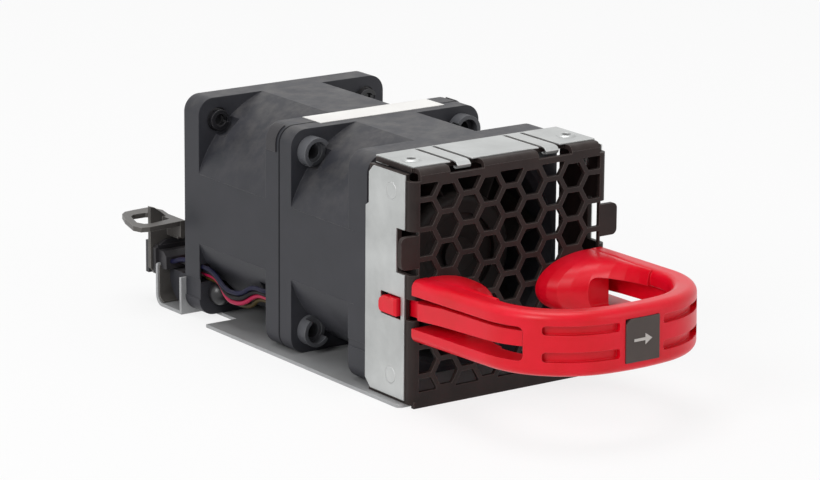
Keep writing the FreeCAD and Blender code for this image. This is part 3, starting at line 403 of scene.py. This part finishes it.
# One finish for each material slot of the model
finishValues = {
    "frame_plastic": {
        "darkTone": srgb(40, 41, 46), "lightTone": srgb(54, 54, 59), "wornAndSheenColour": srgb(104, 104, 108),
        "wearAndSheenAmount": 0.40, "roughness": (0.42, 0.54), "specular": 0.28, "dustAmount": 0.12,
        "bumpDepth": 0.03 * mm},
    "impeller_plastic": {
        "darkTone": srgb(28, 24, 23), "lightTone": srgb(40, 35, 33), "wornAndSheenColour": srgb(84, 75, 71),
        "wearAndSheenAmount": 0.3, "roughness": (0.40, 0.52), "specular": 0.22, "dustAmount": 0.06},
    "yoke_steel": {
        "texture": "sheet", "darkTone": srgb(120, 120, 122), "lightTone": srgb(160, 160, 162),
        "metallic": 1.0, "roughness": (0.30, 0.42)},
    "magnet": {"darkTone": srgb(52, 52, 54), "lightTone": srgb(66, 66, 68), "roughness": (0.50, 0.62)},
    "shaft_steel": {
        "darkTone": srgb(178, 178, 180), "lightTone": srgb(200, 200, 202), "metallic": 1.0,
        "roughness": (0.16, 0.26), "bumpStrength": 0.1},
    "spring_steel": {
        "texture": "sheet", "darkTone": srgb(172, 174, 173), "lightTone": srgb(200, 202, 201),
        "wornAndSheenColour": srgb(240, 240, 240), "metallic": 0.75, "roughness": (0.34, 0.46),
        "bumpDepth": 0.01 * mm, "dustAmount": 0.02},
    "copper_wire": {
        "texture": "sheet", "darkTone": srgb(150, 78, 40), "lightTone": srgb(190, 104, 58), "metallic": 1.0,
        "roughness": (0.26, 0.40), "bumpDepth": 0.08 * mm},
    "board_green": {"darkTone": srgb(22, 70, 44), "lightTone": srgb(30, 92, 58), "roughness": (0.30, 0.42),
                    "coat": 0.4},
    "chip_black": {"darkTone": srgb(32, 32, 34), "lightTone": srgb(44, 44, 46), "roughness": (0.50, 0.62)},
    "contact_brass": {"darkTone": srgb(190, 150, 70), "lightTone": srgb(214, 176, 92), "metallic": 1.0,
                      "roughness": (0.22, 0.34)},
    "rivet_plastic": {"darkTone": srgb(70, 71, 75), "lightTone": srgb(90, 91, 95),
                      "wornAndSheenColour": srgb(150, 150, 152), "roughness": (0.34, 0.46), "dustAmount": 0.05},
    "rivet_black": {"darkTone": srgb(20, 20, 23), "lightTone": srgb(32, 31, 34), "roughness": (0.22, 0.34),
                    "wornAndSheenColour": srgb(90, 90, 94), "specular": 0.5, "dustAmount": 0.04},
    "label_white": {"darkTone": srgb(234, 232, 229), "lightTone": srgb(244, 243, 240),
                    "wornAndSheenColour": srgb(206, 206, 206), "roughness": (0.46, 0.56), "bumpDepth": 0.01 * mm,
                    "dustAmount": 0.03},
    # light edge colour of the cage: painted highlight on the edges of the honeycomb webs, together with some
    # rubbed paint
    "cage_black": {
        "darkTone": srgb(38, 31, 30), "lightTone": srgb(54, 45, 43), "wornAndSheenColour": srgb(140, 129, 125),
        "wearAndSheenAmount": 0.60, "roughness": (0.38, 0.52), "specular": 0.16, "dustAmount": 0.05,
        "bumpDepth": 0.03 * mm},
    "tray_zinc": {
        "texture": "sheet", "darkTone": srgb(150, 151, 152), "lightTone": srgb(174, 175, 176),
        "wornAndSheenColour": srgb(206, 206, 206), "metallic": 0.30, "roughness": (0.34, 0.48),
        "bumpDepth": 0.01 * mm, "dustAmount": 0.04},
    # darker copy of the tray's sheet finish: painted shade, used on the dark sheet over the tail's rear wall
    # and on the connector plate
    "tray_painted_shade": {
        "texture": "sheet", "darkTone": srgb(76, 74, 72), "lightTone": srgb(98, 95, 92),
        "wornAndSheenColour": srgb(196, 192, 188), "metallic": 0.35, "roughness": (0.36, 0.50),
        "bumpDepth": 0.01 * mm, "dustAmount": 0.03},
    "rivet_steel": {"darkTone": srgb(176, 176, 174), "lightTone": srgb(204, 204, 202), "metallic": 0.9,
                    "roughness": (0.26, 0.38)},
    "connector_nylon": {"darkTone": srgb(40, 39, 42), "lightTone": srgb(54, 52, 55),
                        "wornAndSheenColour": srgb(110, 108, 110), "roughness": (0.40, 0.52), "dustAmount": 0.08},
    "lead_red": {"darkTone": srgb(158, 14, 58), "lightTone": srgb(176, 28, 76), "roughness": (0.34, 0.44),
                 "specular": 0.25},
    "lead_black": {"darkTone": srgb(14, 13, 16), "lightTone": srgb(22, 20, 24), "roughness": (0.40, 0.52),
                   "specular": 0.15},
    "lead_blue": {"darkTone": srgb(16, 16, 40), "lightTone": srgb(24, 24, 54), "roughness": (0.40, 0.52),
                  "specular": 0.15},
    # the yellow lead is darkened: painted shade for its run through the shaded tail
    "lead_yellow": {"darkTone": srgb(60, 48, 20), "lightTone": srgb(76, 62, 28), "roughness": (0.40, 0.52),
                    "specular": 0.15},
    "red_plastic": {
        "darkTone": srgb(210, 2, 22), "lightTone": srgb(226, 8, 40), "wornAndSheenColour": srgb(244, 96, 110),
        "wearAndSheenAmount": 0.40, "roughness": (0.28, 0.40), "specular": 0.32, "dustAmount": 0.02},
    "mark_print": {"darkTone": srgb(186, 180, 176), "lightTone": srgb(200, 195, 190),
                   "roughness": (0.46, 0.56), "bumpDepth": 0.01 * mm, "dustAmount": 0.0},
    "seam_shadow": {"darkTone": srgb(24, 24, 27), "lightTone": srgb(30, 30, 33), "roughness": (0.60, 0.70),
                    "specular": 0.10, "wearAndSheenAmount": 0.0, "dustAmount": 0.0},
    "badge_grey": {"darkTone": srgb(66, 58, 55), "lightTone": srgb(80, 70, 66),
                   "wornAndSheenColour": srgb(124, 118, 114), "roughness": (0.40, 0.50), "specular": 0.30,
                   "dustAmount": 0.05},
}

# Pieces that take another finish than the rest of their slot: the connector plate takes the darker tray copy
# as painted shade, the plate rivets take spring steel
ownFinish = {"connector_plate": "tray_painted_shade", "plate_rivets": "spring_steel"}

finishes = {slot: makeFinish(slot, values) for slot, values in finishValues.items()}
for subpart in frame["record"]["subparts"]:
    piece = nodes[subpart["node"]]
    piece.data.materials.clear()
    piece.data.materials.append(finishes[ownFinish.get(subpart["node"], subpart["material_slot"])])
print("finishes on", len(nodes), "nodes")


# What the small pieces share: their mesh, finish and body, and the points of their outlines
def newPiece(name, corners, faces, finish, body, place=(0.0, 0.0, 0.0), turn=(0.0, 0.0, 0.0)):
    mesh = bpy.data.meshes.new(name)
    mesh.from_pydata(corners, [], faces)
    form = bmesh.new()
    form.from_mesh(mesh)
    bmesh.ops.recalc_face_normals(form, faces=form.faces)
    form.to_mesh(mesh)
    form.free()
    mesh.materials.append(finishes[finish])
    piece = bpy.data.objects.new(name, mesh)
    piece.location = place
    piece.rotation_euler = turn
    scene.collection.objects.link(piece)
    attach(piece, body)


def sideFaces(count, first, second):
    # one face between each pair of neighbours of two rings, given by their first corners
    return [(first + i, first + (i + 1) % count, second + (i + 1) % count, second + i) for i in range(count)]


def solidFaces(count, rings):
    # a closed solid of rings that lie one after the other
    faces = [tuple(range(count)), tuple(range((rings - 1) * count, rings * count))]
    for ring in range(rings - 1):
        faces += sideFaces(count, ring * count, (ring + 1) * count)
    return faces


def arc(centre, radius, fromAngle, toAngle, steps):
    angles = [math.radians(fromAngle + (toAngle - fromAngle) * step / steps) for step in range(steps + 1)]
    return [(centre[0] + radius * math.cos(angle), centre[1] + radius * math.sin(angle)) for angle in angles]


# Plain arrow on the badge that shows the way of the air
arrowValues = {
    "length": 3.7 * mm,
    "headLength": 1.4 * mm,
    "headHeight": 1.9 * mm,
    "shaftHeight": 0.5 * mm,
    "thickness": 0.03 * mm,
    "rise": 1.2,  # degrees by which the badge leans with the handle
}


def makeArrow(values):
    half, neck = values["length"] / 2, values["length"] / 2 - values["headLength"]
    head, shaft = values["headHeight"] / 2, values["shaftHeight"] / 2
    outline = [(-half, -shaft), (neck, -shaft), (neck, -head), (half, 0), (neck, head), (neck, shaft),
               (-half, shaft)]
    corners = [(x, depth, z) for depth in (-values["thickness"], 0.0) for x, z in outline]
    low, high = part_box("badge")
    tilt = math.radians(values["rise"])
    # the badge leans, so its box is deeper than its front plane at mid height
    lean = (high[2] - low[2]) / 2 * math.sin(tilt)
    newPiece("airflowArrow", corners, solidFaces(len(outline), 2), "mark_print", "chassis",
             place=((low[0] + high[0]) / 2, low[1] + lean, (low[2] + high[2]) / 2), turn=(-tilt, 0.0, 0.0))


makeArrow(arrowValues)
print("badge mark in place")


# Pieces in the tail of the tray, each an outline from one x to another
def makeProfile(name, outline, values, finish):
    corners = [(x, y, z) for x in (values["left"], values["right"]) for y, z in outline]
    newPiece(name, corners, solidFaces(len(outline), 2), finish, "chassis")


# Dark boot under the connector, rounded at its rear lower edge
bootValues = {
    "left": -18.4 * mm,
    "right": -12.2 * mm,
    "front": 72.0 * mm,
    "rear": 79.1 * mm,
    "low": -19.9 * mm,
    "high": -13.9 * mm,
    "radius": 5.0 * mm,
    "steps": 10,
}


def makeBoot(values):
    radius, front, rear = values["radius"], values["front"], values["rear"]
    bend = arc((rear - radius, values["low"] + radius), radius, -90.0, 0.0, values["steps"])
    outline = [(front, values["high"]), (front, values["low"])] + bend + [(rear, values["high"])]
    makeProfile("tailBoot", outline, values, "frame_plastic")


# Hood over the ends of the leads, with its upper front edge cut off
hoodValues = {
    "left": -20.2 * mm,
    "right": -12.2 * mm,
    "front": 77.4 * mm,
    "rear": 80.0 * mm,
    "low": -13.7 * mm,
    "high": -10.5 * mm,
    "slope": 0.9 * mm,
}


def makeHood(values):
    front, rear, low, high = (values[side] for side in ("front", "rear", "low", "high"))
    outline = [(front, low), (rear, low), (rear, high), (front + values["slope"], high),
               (front, high - values["slope"])]
    makeProfile("leadHood", outline, values, "connector_nylon")


# Dark sheet on the tail's rear wall, bent forwards at its foot: painted shade on the wall's inner face
rearWallShadeValues = {
    "left": -20.6 * mm,
    "right": -12.2 * mm,
    "front": 79.1 * mm,
    "rear": 79.38 * mm,
    "low": -20.0 * mm,
    "high": -13.2 * mm,
    "bend": 1.6 * mm,
    "steps": 10,
}


def makeRearWallShade(values):
    front, rear, bend, steps = (values[name] for name in ("front", "rear", "bend", "steps"))
    centre = (rear - bend, values["low"] + bend)
    outer = arc(centre, bend, 0.0, -90.0, steps)
    inner = arc(centre, bend - (rear - front), -90.0, 0.0, steps)
    outline = [(rear, values["high"])] + outer + inner + [(front, values["high"])]
    makeProfile("rearWallShade", outline, values, "tray_painted_shade")


makeBoot(bootValues)
makeHood(hoodValues)
makeRearWallShade(rearWallShadeValues)
print("tail boot in place")


# Fine dark line where the flanges of the two fans meet
seamValues = {
    "y": 40.4 * mm,
    "width": 0.40 * mm,
    "proud": 0.02 * mm,
    "depth": 0.3 * mm,
    "halfSquare": 20.0 * mm,
    "cornerRadius": 3.0 * mm,
    "steps": 8,
}


def makeSeam(values):
    middle = values["halfSquare"] - values["cornerRadius"]
    quarters = ((1, 1), (-1, 1), (-1, -1), (1, -1))
    corners = []
    for y in (values["y"] - values["width"] / 2, values["y"] + values["width"] / 2):
        for shift in (values["proud"], -values["depth"]):
            for place, (right, up) in enumerate(quarters):
                bend = arc((right * middle, up * middle), values["cornerRadius"] + shift,
                           90.0 * place, 90.0 * (place + 1), values["steps"])
                corners += [(x, y, z) for x, z in bend]
    count = len(quarters) * (values["steps"] + 1)
    faces = []
    for first, second in ((0, 1), (1, 3), (3, 2), (2, 0)):
        faces += sideFaces(count, first * count, second * count)
    newPiece("flangeSeam", corners, faces, "seam_shadow", "chassis")


makeSeam(seamValues)
print("seam of the fans in place")


# Rounded heads that fill the latch hooks out in their windows
headValues = {
    "outline": ((3.35, -5.15), (7.5, -5.15), (8.0, -4.9), (8.2, -4.4), (8.2, -3.3), (7.9, -2.7),
                (7.2, -2.25), (3.35, -2.25)),  # y and z in millimetres
    "root": 20.0 * mm,
    "shoulder": 21.2 * mm,
    "reach": 21.5 * mm,
    "inset": 0.90,
}


def makeHookHead(values, side, body):
    outline = [(y * mm, z * mm) for y, z in values["outline"]]
    count = len(outline)
    midY = sum(y for y, z in outline) / count
    midZ = sum(z for y, z in outline) / count
    rings = ((values["root"], 1.0), (values["shoulder"], 1.0), (values["reach"], values["inset"]))
    corners = []
    for x, scale in rings:
        corners += [(side * x, midY + (y - midY) * scale, midZ + (z - midZ) * scale) for y, z in outline]
    newPiece(body + "Head", corners, solidFaces(count, len(rings)), "red_plastic", body)


makeHookHead(headValues, -1, "left_latch")
makeHookHead(headValues, 1, "right_latch")
print("hook heads in place")


# Snap pads of the rear fan, on the upper corners of its flange at the joint
snapValues = {
    "front": 41.3 * mm,
    "rear": 44.2 * mm,
    "corner": 17.0 * mm,
    "inner": 2.8 * mm,
    "outer": 3.22 * mm,
    "fromAngle": 112.0,
    "drop": 1.6 * mm,
    "steps": 8,
}


def makeSnapPad(name, values, side):
    corner, outline = values["corner"], []
    for reach, order in ((values["outer"], 1), (values["inner"], -1)):
        line = arc((-corner, corner), reach, values["fromAngle"], 180.0, values["steps"])
        line.append((-corner - reach, corner - values["drop"]))
        outline += line[::order]
    corners = [(-side * x, y, z) for y in (values["front"], values["rear"]) for x, z in outline]
    newPiece(name, corners, solidFaces(len(outline), 2), "connector_nylon", "chassis")


makeSnapPad("snapPadLeft", snapValues, -1)
makeSnapPad("snapPadRight", snapValues, 1)
print("snap pads in place")


# Low moulding ridges along the flat sides of both barrels
ridgeValues = {
    "spans": ((17.5 * mm, 36.0 * mm), (45.0 * mm, 66.0 * mm)),
    "heights": (-6.4 * mm, 6.4 * mm),
    "side": 20.0 * mm,
    "proud": 0.06 * mm,
    "width": 0.22 * mm,
}


def makeRidges(values):
    half, side, proud = values["width"] / 2, values["side"], values["proud"]
    corners, faces = [], []
    for sign in (-1, 1):
        for height in values["heights"]:
            for span in values["spans"]:
                start = len(corners)
                for y in span:
                    corners += [(sign * (side - proud), y, height - half), (sign * (side + proud), y, height),
                                (sign * (side - proud), y, height + half)]
                faces += [tuple(start + i for i in face) for face in solidFaces(3, 2)]
    newPiece("barrelRidges", corners, faces, "frame_plastic", "chassis")


makeRidges(ridgeValues)
print("ridges of the barrels in place")
